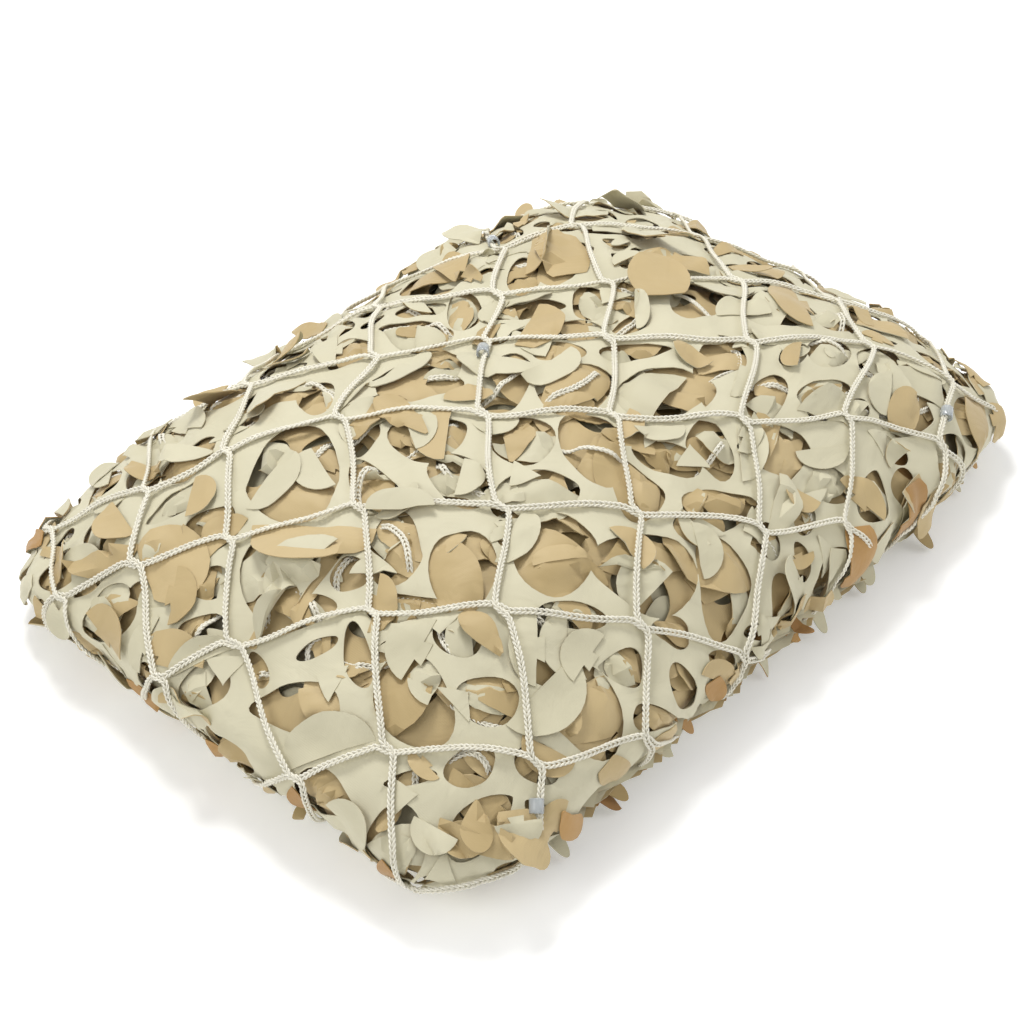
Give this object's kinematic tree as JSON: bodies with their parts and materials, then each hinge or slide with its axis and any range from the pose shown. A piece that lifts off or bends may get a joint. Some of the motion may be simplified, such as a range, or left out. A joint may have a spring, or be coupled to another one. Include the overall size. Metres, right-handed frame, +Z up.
{
  "type": "folded camouflage net",
  "caption": "Leaf-cut desert camouflage net on a corded support mesh, folded back and forth into a crowned rectangular bundle.",
  "frame": {"origin": "on the resting surface, under the middle of the bundle", "axes": "+X along the bundle's long side, +Y along its short side, +Z up"},
  "size_m": [0.6048, 0.4558, 0.143],
  "materials": {
    "garnish_cloth": "thin coated plain weave, pale sand face and tan back",
    "knitted_cord": "chain-knit cream cord",
    "clear_plastic": "clear moulded clip"
  },
  "bodies": {
    "root": {"garnish": "garnish_cloth", "support_net": "knitted_cord", "clip_a": "clear_plastic", "clip_b": "clear_plastic", "clip_c": "clear_plastic", "clip_d": "clear_plastic"}
  },
  "joints": []
}
